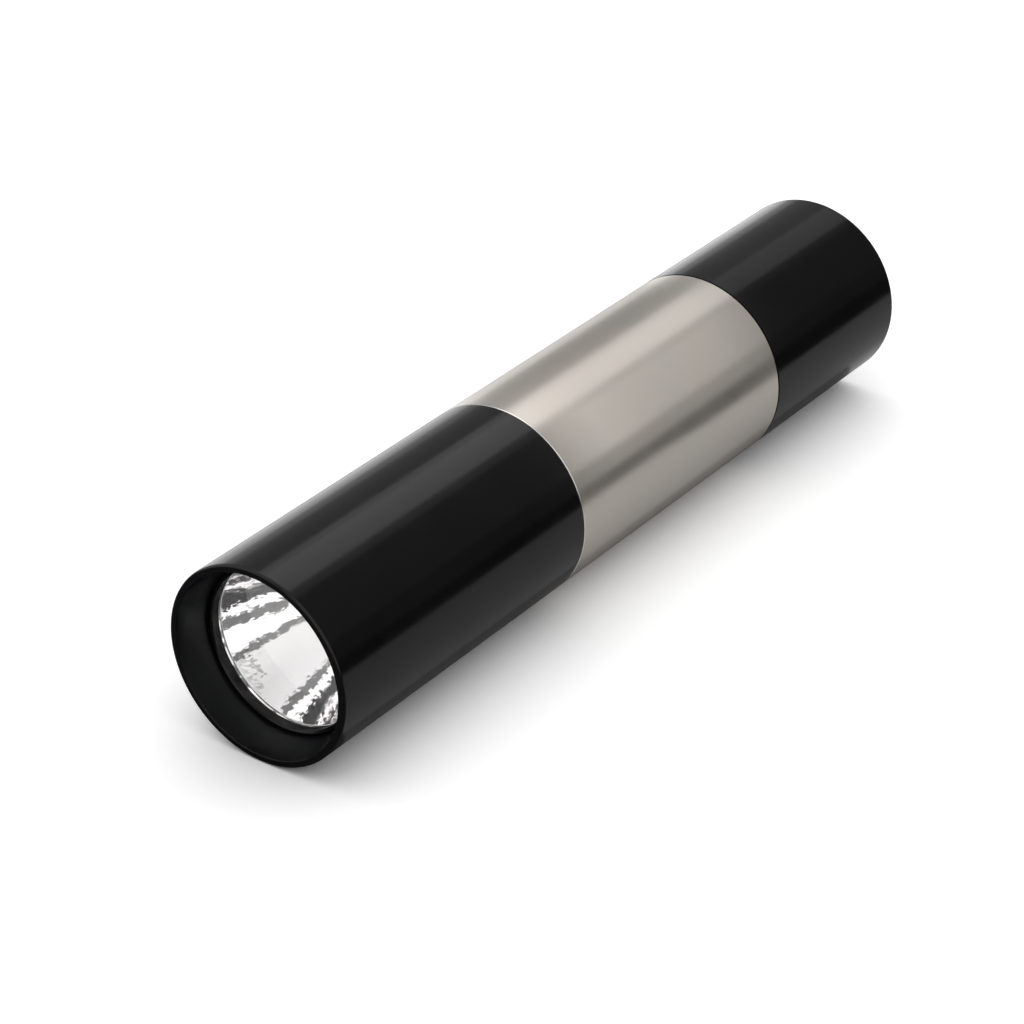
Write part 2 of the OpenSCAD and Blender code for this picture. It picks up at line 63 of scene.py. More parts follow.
def colour(code):
    """Linear RGBA of an sRGB hex colour."""
    parts = [int(code[i : i + 2], 16) / 255 for i in (1, 3, 5)]
    linear = [p / 12.92 if p <= 0.04045 else ((p + 0.055) / 1.055) ** 2.4 for p in parts]
    return (*linear, 1.0)


# Places and sizes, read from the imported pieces

class Span:
    """Where a round piece starts and ends along the tube, its middle and its radius, in metres."""

    def __init__(self, node):
        low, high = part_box(node)
        self.front = low.y
        self.back = high.y
        self.length = high.y - low.y
        self.radius = (high.x - low.x) / 2
        self.middle = (low + high) / 2


HEAD = Span("head_shell")
BARREL = Span("barrel")
TAIL = Span("tail_shell")
RING = Span("lens_retaining_ring")
LENS = Span("lens")
GASKET = Span("lens_gasket")
REFLECTOR = Span("reflector")
EMITTER = Span("led_emitter")
LED_BOARD = Span("led_board")
SINK = Span("heat_sink")
HEAD_SEAL = Span("head_o_ring")
TAIL_SEAL = Span("tail_o_ring")
BOOT = Span("switch_boot")
PLUNGER = Span("switch_plunger")
SWITCH_SPRING = Span("switch_spring")

TUBE_R = BARREL.radius
AXIS_Z = BARREL.middle.z
SEAL_D = HEAD_SEAL.length
SPIGOT_R = HEAD_SEAL.radius
# Radial play between a turned piece and its bore
PLAY = 0.05 * MM
SOCKET_R = SPIGOT_R + PLAY
BAY_R = SINK.radius + PLAY
OPTIC_R = RING.radius + PLAY
RING_W = 0.65 * MM
RING_OPEN_R = RING.radius - RING_W
MIRROR_INSET = 0.15 * MM
MIRROR_OPEN_R = LENS.radius - MIRROR_INSET
# The seals' grooves: room under and beside the ring, and the rounding of their edges
SEAL_ROOM = 0.02 * MM
SEAL_SIDE_ROOM = 0.1 * MM
GROOVE_EDGE = 0.06 * MM
GROOVE_R = SPIGOT_R - SEAL_D - SEAL_ROOM
GROOVE_HALF = SEAL_D / 2 + SEAL_SIDE_ROOM
LIP_W = 1.0 * MM
RIM_ROUND = 0.4 * MM
# The two seams: rounding of the black edges, half the gap, and the barrel's bright chamfer
SEAM_ROUND = 0.04 * MM
SEAM_GAP = 0.12 * MM
SEAM_CUT = 0.09 * MM
SHOULDER_GAP = 0.3 * MM
SPIGOT_CHAMFER = 0.3 * MM
THREAD_PITCH = 1.25 * MM
THREAD_DEPTH = 0.5 * MM
THREAD_STEP = THREAD_PITCH / 12
# Plain stretches between a thread and its spigot's end or shoulder, and between it and the groove
THREAD_TO_END = 0.6 * MM
THREAD_TO_GROOVE = 0.8 * MM
THUMB_R = 9.5 * MM
THUMB_DEPTH = 3.5 * MM
THUMB_EDGE = 0.4 * MM
END_WALL = 2.0 * MM
CHAMBER_BACK = TAIL.back - THUMB_DEPTH - END_WALL
BOOT_R = 6.2 * MM
BOOT_WALL = 1.1 * MM
CELL_R = 5.1 * MM


# Meshes

def shade(obj, sharp=35):
    """Smooth shading, with creases where faces meet at more than the sharp angle in degrees."""
    obj.data.polygons.foreach_set("use_smooth", [True] * len(obj.data.polygons))
    obj.data.set_sharp_from_angle(angle=math.radians(sharp))


def finished(name, mesh, material, sharp=35):
    """Puts a mesh in the scene with outward faces, smooth shading and its material."""
    form = bmesh.new()
    form.from_mesh(mesh)
    bmesh.ops.remove_doubles(form, verts=form.verts, dist=1e-7)
    bmesh.ops.dissolve_degenerate(form, edges=form.edges, dist=1e-8)
    bmesh.ops.recalc_face_normals(form, faces=form.faces)
    form.to_mesh(mesh)
    form.free()
    mesh.materials.append(material)
    obj = bpy.data.objects.new(name, mesh)
    bpy.context.scene.collection.objects.link(obj)
    shade(obj, sharp)
    return obj


def rounded(points, steps=6):
    """A closed profile with rounded corners: points are (radius, y) or (radius, y, rounding).

    A narrow strip beside each rounding keeps the smooth shading of the straight faces straight."""
    out = []
    for i, point in enumerate(points):
        here = Vector(point[:2])
        if len(point) < 3:
            out.append(tuple(here))
            continue
        before = (Vector(points[i - 1][:2]) - here).normalized()
        after = (Vector(points[(i + 1) % len(points)][:2]) - here).normalized()
        half = before.angle(after) / 2
        middle = here + (before + after).normalized() * (point[2] / math.sin(half))
        cut = point[2] / math.tan(half)
        start = here + before * cut - middle
        sweep = start.angle_signed(here + after * cut - middle)
        out.append(tuple(here + before * cut * 1.2))
        for k in range(steps + 1):
            out.append(tuple(middle + Matrix.Rotation(-sweep * k / steps, 2) @ start))
        out.append(tuple(here + after * cut * 1.2))
    return out


def lathe(name, profile, relief=None, segments=256, centre=(0.0, AXIS_Z)):
    """Mesh of a closed profile of (radius, y) points turned about the tube's direction.

    relief(radius, y, angle) may give a point another radius, as a thread does."""
    verts = []
    for radius, y in profile:
        for k in range(segments):
            angle = 2 * math.pi * k / segments
            r = relief(radius, y, angle) if relief else radius
            verts.append((centre[0] + r * math.cos(angle), y, centre[1] + r * math.sin(angle)))
    faces = []
    for i in range(len(profile)):
        j = (i + 1) % len(profile)
        if profile[i][0] == 0 and profile[j][0] == 0:
            continue
        for k in range(segments):
            n = (k + 1) % segments
            faces.append((i * segments + k, i * segments + n, j * segments + n, j * segments + k))
    mesh = bpy.data.meshes.new(name)
    mesh.from_pydata(verts, [], faces)
    return mesh


def turned(name, profile, material, relief=None, segments=256):
    """A turned piece about the tube's axis."""
    return finished(name, lathe(name, profile, relief, segments), material)


def thread(start, stop, depth):
    """Relief of a right-hand thread between two places, fading in and out over one turn."""
    def relief(radius, y, angle):
        if not start < y < stop:
            return radius
        phase = (y / THREAD_PITCH + angle / (2 * math.pi)) % 1
        cut = min(1.0, max(0.0, (abs(2 * phase - 1) - 0.2) / 0.6))
        fade = min(1.0, (y - start) / THREAD_PITCH, (stop - y) / THREAD_PITCH)
        return radius - depth * cut * fade
    return relief


def close_points(radius, start, stop, step):
    """Profile points close enough together to carry a thread or a bend."""
    count = math.ceil(abs(stop - start) / step)
    return [(radius, start + (stop - start) * i / count) for i in range(count + 1)]


def wire_coils(name, coils, wire, sides=10, steps=40):
    """Springs of one wire: each is (centre x, centre z, first y, last y, first r, last r, turns).

    The wire's ends are closed by flat faces."""
    verts = []
    faces = []
    for x, z, y0, y1, r0, r1, turns in coils:
        first = len(verts)
        count = round(steps * turns)
        for i in range(count + 1):
            t = i / count
            angle = 2 * math.pi * turns * t
            r = r0 + (r1 - r0) * t
            out = Vector((math.cos(angle), 0, math.sin(angle)))
            lead = (y1 - y0) / (2 * math.pi * turns * r)
            along = Vector((-math.sin(angle), lead, math.cos(angle))).normalized()
            across = along.cross(out)
            middle = Vector((x, y0 + (y1 - y0) * t, z)) + out * r
            for k in range(sides):
                a = 2 * math.pi * k / sides
                verts.append(middle + wire / 2 * (math.cos(a) * out + math.sin(a) * across))
        for i in range(count):
            for k in range(sides):
                a = first + i * sides + k
                b = first + i * sides + (k + 1) % sides
                faces.append((a, b, b + sides, a + sides))
        faces.append(tuple(range(first, first + sides)))
        faces.append(tuple(range(first + count * sides, first + (count + 1) * sides)))
    mesh = bpy.data.meshes.new(name)
    mesh.from_pydata(verts, [], faces)
    return finished(name, mesh, SPRING_STEEL, sharp=50)


def softened(name, node, material, width):
    """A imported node's form with the small edge roundings of the real piece."""
    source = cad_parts[node]
    mesh = source.data.copy()
    mesh.transform(source.matrix_world)
    mesh.materials.clear()
    form = bmesh.new()
    form.from_mesh(mesh)
    bmesh.ops.remove_doubles(form, verts=form.verts, dist=1e-6)
    bmesh.ops.dissolve_limit(form, angle_limit=math.radians(1), verts=form.verts, edges=form.edges)
    form.to_mesh(mesh)
    form.free()
    raw = bpy.data.objects.new(name + "_raw", mesh)
    bpy.context.scene.collection.objects.link(raw)
    edge = raw.modifiers.new("edge", "BEVEL")
    edge.width = width
    edge.segments = 3
    edge.limit_method = "ANGLE"
    edge.angle_limit = math.radians(40)
    shaped = raw.evaluated_get(bpy.context.evaluated_depsgraph_get())
    soft = bpy.data.meshes.new_from_object(shaped)
    bpy.data.objects.remove(raw)
    soft.materials.append(material)
    obj = bpy.data.objects.new(name, soft)
    bpy.context.scene.collection.objects.link(obj)
    shade(obj)
    return obj


def paint(obj, material, rule):
    """Gives the faces whose middle fits the rule another material."""
    obj.data.materials.append(material)
    for face in obj.data.polygons:
        if rule(face.center):
            face.material_index = len(obj.data.materials) - 1


def fitted(obj, body, node):
    """The piece rides on its body and stands for its node."""
    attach(obj, body)
    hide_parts(node)


# Finishes

def add(tree, kind, links=None, **settings):
    """Adds a node: settings are properties or input values, links are inputs and what they take."""
    made = tree.nodes.new(kind)
    for key, value in settings.items():
        if hasattr(made, key):
            setattr(made, key, value)
        else:
            made.inputs[key.replace("_", " ")].default_value = value
    for key, socket in (links or {}).items():
        tree.links.new(socket, made.inputs[key])
    return made


def new_material(name):
    """An empty material: the material, its node tree, its output and the piece's own coordinates."""
    material = bpy.data.materials.new(name)
    material.use_nodes = True
    tree = material.node_tree
    tree.nodes.clear()
    out = tree.nodes.new("ShaderNodeOutputMaterial")
    return material, tree, out, tree.nodes.new("ShaderNodeTexCoord").outputs["Object"]


def grit(tree, place, size, depth, detail=3.0):
    """Normal of a surface with fine pits of one size and depth in metres."""
    noise = add(tree, "ShaderNodeTexNoise", {"Vector": place}, Scale=1 / size, Detail=detail)
    return add(tree, "ShaderNodeBump", {"Height": noise.outputs["Fac"]}, Strength=1.0,
               Distance=depth).outputs["Normal"]


def patches(tree, place, size, low, high):
    """A value that wanders between low and high in soft patches of one size in metres."""
    noise = add(tree, "ShaderNodeTexNoise", {"Vector": place}, Scale=1 / size, Detail=4.0)
    return add(tree, "ShaderNodeMapRange", {"Value": noise.outputs["Fac"]}, From_Min=0.3, From_Max=0.7,
               To_Min=low, To_Max=high).outputs["Result"]


def tinted(tree, place, size, one, other):
    """A colour that drifts between two close tones in patches of one size in metres."""
    noise = add(tree, "ShaderNodeTexNoise", {"Vector": place}, Scale=1 / size, Detail=4.0)
    ramp = add(tree, "ShaderNodeValToRGB", {"Fac": noise.outputs["Fac"]})
    ramp.color_ramp.elements[0].position = 0.35
    ramp.color_ramp.elements[0].color = colour(one)
    ramp.color_ramp.elements[1].position = 0.65
    ramp.color_ramp.elements[1].color = colour(other)
    return ramp.outputs["Color"]


def surface(tree, out, links, **settings):
    """Ends the material in one surface shader."""
    shader = add(tree, "ShaderNodeBsdfPrincipled", links, **settings)
    tree.links.new(shader.outputs["BSDF"], out.inputs["Surface"])


def black_anodised_aluminium(name, shine):
    """Aluminium blasted with fine beads, dyed black and sealed: deep satin black, hardly any grain."""
    material, tree, out, place = new_material(name)
    surface(tree, out, {
        # The beads leave dimples of about 0.15 mm
        "Normal": grit(tree, place, 0.15 * MM, 0.0008 * MM),
        # Handling polishes some places a little more than others
        "Roughness": patches(tree, place, 7 * MM, shine - 0.02, shine + 0.02),
        "Base Color": tinted(tree, place, 9 * MM, "#0a0a0b", "#0d0d0e"),
    }, IOR=1.36)
    return material


def grey_anodised_aluminium():
    """Blasted aluminium under a thin warm grey film: mostly metal, with soft broad highlights."""
    material, tree, out, place = new_material("warm_grey_anodised_aluminium")
    surface(tree, out, {
        "Normal": grit(tree, place, 0.15 * MM, 0.0016 * MM),
        "Roughness": patches(tree, place, 7 * MM, 0.21, 0.25),
        # The film's thickness wanders, which turns the grey slightly warmer in places
        "Base Color": tinted(tree, place, 8 * MM, "#cdc7bf", "#d0c8bf"),
    }, Metallic=0.78)
    return material


def bright_cut_aluminium():
    """Chamfer cut after anodising: bare bright metal, with the tool's fine lines round the edge."""
    material, tree, out, place = new_material("bright_cut_aluminium")
    surface(tree, out, {
        "Normal": grit(tree, place, 0.1 * MM, 0.0008 * MM),
        "Roughness": patches(tree, place, 3 * MM, 0.22, 0.28),
    }, Base_Color=colour("#f2f0ec"), Metallic=1.0)
    return material


def aluminised_reflector():
    """Aluminium vapour on a lacquered cup: bright, with the lacquer's orange peel and slight haze."""
    material, tree, out, place = new_material("aluminised_reflector")
    # Peel cells of about 0.24 mm, drawn out as the lacquer ran level: each leans its own way by a degree
    # or two, which tears the edges of what the cup shows
    peel = 0.24 * MM
    most_lean = 0.02
    stretch = add(tree, "ShaderNodeMapping", {"Vector": place}, Scale=(0.4, 0.4, 1.0))
    cells = add(tree, "ShaderNodeTexVoronoi", {"Vector": stretch.outputs["Vector"]}, Scale=1 / peel)
    lean = add(tree, "ShaderNodeVectorMath", {0: cells.outputs["Color"]}, operation="MULTIPLY_ADD")
    lean.inputs[1].default_value = (2 * most_lean,) * 3
    lean.inputs[2].default_value = (-most_lean,) * 3
    facing = tree.nodes.new("ShaderNodeNewGeometry").outputs["Normal"]
    tilted = add(tree, "ShaderNodeVectorMath", {0: facing, 1: lean.outputs[0]}, operation="ADD")
    unit = add(tree, "ShaderNodeVectorMath", {0: tilted.outputs[0]}, operation="NORMALIZE")
    # The haze scatters about a tenth of the light
    surface(tree, out, {
        "Normal": unit.outputs[0],
    }, Base_Color=colour("#fefbfc"), Metallic=0.89, Roughness=0.01)
    return material


def toughened_glass():
    """Polished toughened glass: clear, the green of its edge too faint to see at this thickness."""
    material, tree, out, place = new_material("toughened_glass")
    surface(tree, out, {
        # Wiping leaves slight smears a few millimetres across
        "Roughness": patches(tree, place, 4 * MM, 0.0, 0.012),
    }, Base_Color=colour("#fcfefd"), IOR=1.5, Transmission_Weight=1.0)
    return material


def rubber(name, code, shine, size=0.2 * MM):
    """Moulded rubber: dull, with the fine skin that the mould leaves."""
    material, tree, out, place = new_material(name)
    surface(tree, out, {
        "Normal": grit(tree, place, size, 0.008 * MM),
        "Roughness": patches(tree, place, 3 * MM, shine, shine + 0.1),
    }, Base_Color=colour(code), IOR=1.52)
    return material


def moulded(name, codes, shine, size=0.35 * MM, depth=0.004 * MM):
    """Injection-moulded plastic: an even colour and the fine spark-eroded texture of the mould."""
    material, tree, out, place = new_material(name)
    surface(tree, out, {
        "Normal": grit(tree, place, size, depth),
        "Roughness": patches(tree, place, 5 * MM, shine, shine + 0.08),
        "Base Color": tinted(tree, place, 6 * MM, *codes),
    }, IOR=1.49)
    return material


def plain_metal(name, codes, shine, lines=0.12 * MM):
    """Turned, drawn or plated metal: fine tool lines that run across the tube's direction."""
    material, tree, out, place = new_material(name)
    stretch = add(tree, "ShaderNodeMapping", {"Vector": place}, Scale=(0.08, 1.0, 0.08))
    surface(tree, out, {
        "Normal": grit(tree, stretch.outputs["Vector"], lines, 0.003 * MM),
        "Roughness": patches(tree, place, 2 * MM, shine, shine + 0.1),
        "Base Color": tinted(tree, place, 3 * MM, *codes),
    }, Metallic=1.0)
    return material


def circuit_board(name, mask, track):
    """Board under glossy solder mask, with slightly lighter copper tracks 0.1 mm below the gloss."""
    material, tree, out, place = new_material(name)
    facing = add(tree, "ShaderNodeMapping", {"Vector": place})
    facing.inputs["Rotation"].default_value = (math.pi / 2, 0, 0)
    tracks = add(tree, "ShaderNodeTexBrick", {"Vector": facing.outputs["Vector"]},
                 Color1=colour(mask), Color2=colour(mask), Mortar=colour(track),
                 Scale=1 / (4 * MM), Mortar_Size=0.04, Brick_Width=0.7, Row_Height=0.35)
    surface(tree, out, {
        "Base Color": tracks.outputs["Color"],
        "Normal": grit(tree, place, 0.3 * MM, 0.003 * MM),
    }, Roughness=0.3, IOR=1.5)
    return material


def wire_insulation():
    """PVC insulation: one wire red and one black, glossy from drawing."""
    material, tree, out, place = new_material("pvc_wire_insulation")
    side = add(tree, "ShaderNodeSeparateXYZ", {"Vector": place})
    right = add(tree, "ShaderNodeMath", {0: side.outputs["X"]}, operation="GREATER_THAN")
    right.inputs[1].default_value = 0.0
    dye = add(tree, "ShaderNodeValToRGB", {"Fac": right.outputs[0]})
    dye.color_ramp.elements[0].color = colour("#16161a")
    dye.color_ramp.elements[1].color = colour("#a82318")
    surface(tree, out, {
        "Base Color": dye.outputs["Color"],
        "Normal": grit(tree, place, 0.2 * MM, 0.004 * MM),
    }, Roughness=0.35, IOR=1.53)
    return material


def phosphor():
    """Phosphor in silicone over the light's die: a flat, powdery yellow."""
    material, tree, out, place = new_material("led_phosphor")
    surface(tree, out, {
        "Base Color": tinted(tree, place, 0.12 * MM, "#e6cf3c", "#f0dc52"),
        "Normal": grit(tree, place, 0.05 * MM, 0.004 * MM),
    }, Roughness=0.6, IOR=1.41)
    return material


def clear_silicone():
    """Silicone cast over the die: water-clear, with a soft gloss."""
    material, tree, out, place = new_material("clear_silicone")
    surface(tree, out, {
        "Roughness": patches(tree, place, 1 * MM, 0.02, 0.06),
    }, Base_Color=colour("#fffdf2"), IOR=1.41, Transmission_Weight=1.0)
    return material


BLACK = black_anodised_aluminium("black_anodised_aluminium", 0.15)
BLACK_INSIDE = black_anodised_aluminium("black_anodised_bore", 0.3)
GREY = grey_anodised_aluminium()
CUT_EDGE = bright_cut_aluminium()
MIRROR = aluminised_reflector()
GLASS = toughened_glass()
PHOSPHOR = phosphor()
SILICONE = clear_silicone()
CERAMIC = moulded("alumina_ceramic", ("#e9e7e0", "#efeee9"), 0.5, 0.06 * MM, 0.002 * MM)
NYLON = moulded("white_nylon", ("#eceae4", "#f2f1ec"), 0.42)
BLACK_ABS = moulded("black_moulded_abs", ("#141415", "#19191a"), 0.38)
SWITCH_PBT = moulded("black_switch_pbt", ("#1b1c1e", "#222325"), 0.34)
SLEEVE = moulded("pvc_cell_sleeve", ("#3f5f7d", "#446585"), 0.22, 0.8 * MM, 0.006 * MM)
SLEEVE_BAND = moulded("pale_pvc_cell_sleeve", ("#d9dbd8", "#e0e2df"), 0.22, 0.8 * MM, 0.006 * MM)
NITRILE = rubber("nitrile_rubber", "#141414", 0.28)
SOFT_SILICONE = rubber("silicone_rubber_gasket", "#2c2c2d", 0.45)
BOOT_RUBBER = rubber("silicone_rubber_boot", "#151516", 0.5, 0.3 * MM)
BRASS = plain_metal("turned_brass", ("#c79a45", "#cda352"), 0.22)
SPRING_STEEL = plain_metal("nickel_plated_spring_steel", ("#c9c5bb", "#d3cfc6"), 0.18)
NICKEL = plain_metal("nickel_plated_steel", ("#cfccc4", "#d8d5cd"), 0.2)
GOLD_PLATE = plain_metal("gold_plated_brass", ("#dcb866", "#e2c276"), 0.2)
GREEN_BOARD = circuit_board("green_epoxy_glass_board", "#14532c", "#1f6d3c")
WHITE_BOARD = circuit_board("white_aluminium_core_board", "#e9e9e6", "#d5d6d2")
INSULATION = wire_insulation()


# Camera at the photograph's viewing angle

AZIMUTH = math.radians(35.93)
ELEVATION = math.radians(30.13)
# Middle of the front rim in the camera's own axes, in tube radii
RIM_IN_CAMERA = Vector((-2.263, -1.376, -29.133))
FOCAL_PIXELS = 3303
IMAGE_PIXELS = 1024

camera_right = Vector((math.cos(AZIMUTH), math.sin(AZIMUTH), 0))
camera_back = Vector((
    math.sin(AZIMUTH) * math.cos(ELEVATION),
    -math.cos(AZIMUTH) * math.cos(ELEVATION),
    math.sin(ELEVATION),
))
camera_axes = Matrix((camera_right, camera_back.cross(camera_right), camera_back)).transposed()
rim_middle = Vector((0, HEAD.front, AXIS_Z))
eye = rim_middle - TUBE_R * (camera_axes @ RIM_IN_CAMERA)
camera = bpy.data.objects.new("camera", bpy.data.cameras.new("camera"))
bpy.context.scene.collection.objects.link(camera)
camera.matrix_world = Matrix.Translation(eye) @ camera_axes.to_4x4()
camera.data.sensor_width = 36
camera.data.lens = FOCAL_PIXELS / IMAGE_PIXELS * camera.data.sensor_width
camera.data.clip_start = 0.01
camera.data.clip_end = 20
bpy.context.scene.camera = camera


# Studio: white floor and air, and cards that only reflections see

FLOOR_HALF = 5.0
# Distance of the arched cards from the tube's axis
CARD_R = 0.06
# Where the camera stands about the tube's axis, in radians up from the right side
VIEW_ANGLE = math.atan2(eye.z - AXIS_Z, eye.x)
# Where the front sheet ends and the other two begin, and how far the near sheet reaches sideways
SHEETS_MEET = HEAD.front + 8 * MM
NEAR_SHEET_W = 0.95 * TUBE_R
CUP_CARD_LEVEL = 0.24
BEYOND_TAIL = TAIL.back + 0.3


def stage_surface(name, points, faces, material):
    """A surface of the studio."""
    mesh = bpy.data.meshes.new(name)
    mesh.from_pydata(points, [], faces)
    mesh.materials.append(material)
    obj = bpy.data.objects.new(name, mesh)
    bpy.context.scene.collection.objects.link(obj)
    return obj


def for_reflections(obj):
    """Hides a card from the camera and from matt surfaces."""
    obj.visible_camera = False
    obj.visible_diffuse = False
    obj.visible_shadow = False


def white_paper():
    """Matt white studio paper. Seen directly or through glass it has lamps of its own,
    so that it is full white all round and its shadow stays close to the tube."""
    material, tree, out, _ = new_material("white_paper_floor")
    white = colour("#cecece")
    path = tree.nodes.new("ShaderNodeLightPath")
    seen = add(tree, "ShaderNodeMath",
               {0: path.outputs["Is Camera Ray"], 1: path.outputs["Is Transmission Ray"]},
               operation="MAXIMUM")
    paper = add(tree, "ShaderNodeBsdfDiffuse", Color=white)
    extra = add(tree, "ShaderNodeBsdfDiffuse", Color=white)
    bright = add(tree, "ShaderNodeAddShader", {0: paper.outputs[0], 1: extra.outputs[0]})
    both = add(tree, "ShaderNodeMixShader",
               {0: seen.outputs[0], 1: paper.outputs[0], 2: bright.outputs[0]})
    tree.links.new(both.outputs[0], out.inputs["Surface"])
    return material


def grey_paper(name, tone):
    """Matt grey paper, which darkens the floor's reflection in the tube."""
    material, tree, out, _ = new_material(name)
    paper = add(tree, "ShaderNodeBsdfDiffuse", Color=colour(tone))
    tree.links.new(paper.outputs[0], out.inputs["Surface"])
    return material


def lit_card(name, level):
    """A backlit card of one even brightness."""
    material, tree, out, _ = new_material(name)
    glow = add(tree, "ShaderNodeEmission", Strength=level)
    tree.links.new(glow.outputs[0], out.inputs["Surface"])
    return material


def reflected_angle(place):
    """Angle about the axis, in radians, of the card that the camera sees at a place round the tube."""
    off_view = VIEW_ANGLE - math.radians(place)
    return VIEW_ANGLE - 2 * off_view + math.asin(TUBE_R / CARD_R * math.sin(off_view))


def travel(y, off_view):
    """How far along the tube a reflection at y moves for each metre that it moves away from it."""
    return (y - eye.y) / (math.hypot(eye.x, eye.z - AXIS_Z) - TUBE_R * math.cos(off_view))


def arched_card(name, places, span, level):
    """A card bent round the tube, reflected between two places round it, in degrees, and two along it."""
    steps = 8
    least_height = 0.5 * MM
    points = []
    for i in range(steps + 1):
        place = places[0] + (places[1] - places[0]) * i / steps
        off_view = VIEW_ANGLE - math.radians(place)
        reach = math.sqrt(CARD_R**2 - (TUBE_R * math.sin(off_view)) ** 2) - TUBE_R * math.cos(off_view)
        angle = reflected_angle(place)
        height = max(AXIS_Z + CARD_R * math.sin(angle), least_height)
        points += [(CARD_R * math.cos(angle), y + reach * travel(y, off_view), height) for y in span]
    faces = [(2 * i, 2 * i + 2, 2 * i + 3, 2 * i + 1) for i in range(steps)]
    for_reflections(stage_surface(name, points, faces, lit_card(name, level)))


def sheet(name, left, right, front, back, material):
    """A sheet of paper lying on the floor, seen only by reflections."""
    z = 0.2 * MM
    corners = [(left, front, z), (right, front, z), (right, back, z), (left, back, z)]
    card = stage_surface(name, corners, [(0, 1, 2, 3)], material)
    for_reflections(card)
    return card


def cup_card(name, corners, distance):
    """A grey card before the head that the mirror shows as a band: corners are degrees aside and up."""
    points = []
    for aside, up in corners:
        aside = math.radians(aside)
        up = math.radians(up)
        out = Vector((math.sin(aside) * math.cos(up), -math.cos(aside) * math.cos(up), math.sin(up)))
        points.append(rim_middle + distance * out)
    card = stage_surface(name, points, [(0, 1, 2, 3)], lit_card(name, CUP_CARD_LEVEL))
    for_reflections(card)


stage_surface("floor", [
    (-FLOOR_HALF, -FLOOR_HALF, 0), (FLOOR_HALF, -FLOOR_HALF, 0),
    (FLOOR_HALF, FLOOR_HALF, 0), (-FLOOR_HALF, FLOOR_HALF, 0),
], [(0, 1, 2, 3)], white_paper())
sheet("side_sheet", NEAR_SHEET_W, 0.3, SHEETS_MEET, 0.5, grey_paper("grey_paper", "#bcbcbc"))
# The near sheet's darker paper is painted shade: it stands in for the floor's shade beside the tube, where
# the tube reflects it
sheet("near_sheet", 0, NEAR_SHEET_W, SHEETS_MEET, TAIL.back, grey_paper("painted_shade_paper", "#979797"))
front_sheet = sheet("front_sheet", -0.4, 0.3, HEAD.front - 0.4, SHEETS_MEET,
                    grey_paper("dark_paper", "#585858"))
front_sheet.visible_transmission = False
cup_card("cup_card_top", ((-18, 32), (12, 33), (14, 60), (-28, 60)), 0.3)
cup_card("cup_card_left", ((-58, -6), (-18, 2), (-18, 13), (-58, 7)), 0.1)
cup_card("cup_card_right", ((55, -14), (35, 0), (47, 18), (66, 4)), 0.05)

# Places along the tube where the cards meet, from before the head to behind the tail
card_ends = (
    HEAD.front - 25 * MM,
    BARREL.front + 2.5 * MM,
    BARREL.front + 13 * MM,
    BARREL.back - 2 * MM,
    BEYOND_TAIL,
)
# Places round the tube in degrees up from the right side, and the levels that the head, the front of
# the barrel, the rest of it and the tail cap reflect there
for card_name, card_places, card_levels in (
    ("hem_card", (15, 23), (0.02, 0.0, 0.0, 0.02)),
    ("low_card", (23, 33), (0.1, 0.4, 0.3, 0.08)),
    ("side_card", (33, 62), (0.18, 0.9, 0.56, 0.12)),
    ("strip_edge", (62, 67), (0.45, 0.7, 0.42, 0.18)),
    ("strip_light", (67, 83), (1.38, 1.0, 0.92, 0.64)),
    ("strip_far_edge", (83, 87), (1.0, 0.88, 0.76, 0.36)),
    ("far_card", (87, 104), (0.34, 0.27, 0.22, 0.34)),
    ("far_low_card", (104, 111), (0.6, 0.36, 0.3, 0.7)),
    ("far_floor_card", (111, 130), (1.15, 0.82, 0.8, 1.3)),
):
    for index, level in enumerate(card_levels):
        arched_card(f"{card_name}_{index}", card_places, card_ends[index : index + 2], level)
arched_card("rear_hem_card", (10.5, 15), (BARREL.middle.y, BEYOND_TAIL), 0.0)


def white_air():
    """White surroundings, brighter where they are seen through the lens, whose cup they fill.

    Matt surfaces get most of their light from overhead and a little behind, which keeps the shadow
    close to the tube."""
    white = colour("#ffffff")
    world = bpy.data.worlds.new("white_studio_air")
    bpy.context.scene.world = world
    world.use_nodes = True
    tree = world.node_tree
    tree.nodes.clear()
    out = tree.nodes.new("ShaderNodeOutputWorld")
    path = tree.nodes.new("ShaderNodeLightPath")
    way = tree.nodes.new("ShaderNodeTexCoord").outputs["Generated"]
    overhead = add(tree, "ShaderNodeVectorMath", {0: way}, operation="DOT_PRODUCT")
    overhead.inputs[1].default_value = (0.0, 0.2, 0.98)
    level = add(tree, "ShaderNodeMapRange", {"Value": overhead.outputs["Value"]},
                To_Min=0.12, To_Max=1.5)
    light = add(tree, "ShaderNodeBackground", {"Strength": level.outputs["Result"]}, Color=white)
    air = add(tree, "ShaderNodeBackground", Color=white, Strength=1.0)
    through_lens = add(tree, "ShaderNodeBackground", Color=white, Strength=1.8)
    seen = add(tree, "ShaderNodeMath",
               {0: path.outputs["Is Camera Ray"], 1: path.outputs["Is Glossy Ray"]},
               operation="MAXIMUM")
    most = add(tree, "ShaderNodeMixShader",
               {0: seen.outputs[0], 1: light.outputs[0], 2: air.outputs[0]})
    both = add(tree, "ShaderNodeMixShader",
               {0: path.outputs["Is Transmission Ray"], 1: most.outputs[0], 2: through_lens.outputs[0]})
    tree.links.new(both.outputs[0], out.inputs["Surface"])


white_air()


# Head

